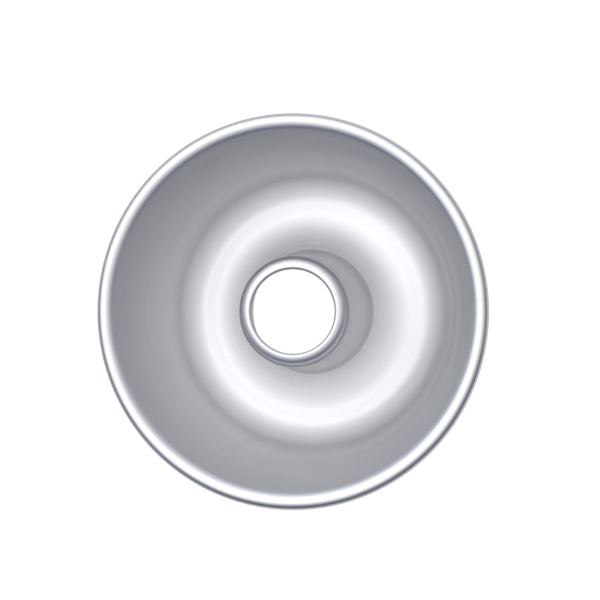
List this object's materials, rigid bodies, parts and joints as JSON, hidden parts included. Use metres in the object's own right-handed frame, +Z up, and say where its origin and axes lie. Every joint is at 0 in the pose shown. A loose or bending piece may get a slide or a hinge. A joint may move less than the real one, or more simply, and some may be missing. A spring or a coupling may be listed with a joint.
{
  "type": "ring cake mould",
  "caption": "Deep ring-shaped baking mould: flared round pan with a rounded trough, a tapered open tube up the middle, and rolled rims on both.",
  "frame": {"origin": "on the mould's axis, in the plane its flat floor stands on", "axes": "+Z up along the axis towards the open rim; +X towards the place where the rim wire's two ends meet; +Y a quarter turn from it, counted from +X about +Z"},
  "size_m": [0.2, 0.2, 0.08],
  "materials": {
    "aluminium_sheet": "satin",
    "stiffening_wire": "plain"
  },
  "bodies": {
    "root": {"pan_body": "aluminium_sheet", "centre_tube": "aluminium_sheet", "rim_wire": "stiffening_wire", "tube_rim_wire": "stiffening_wire"}
  },
  "joints": []
}
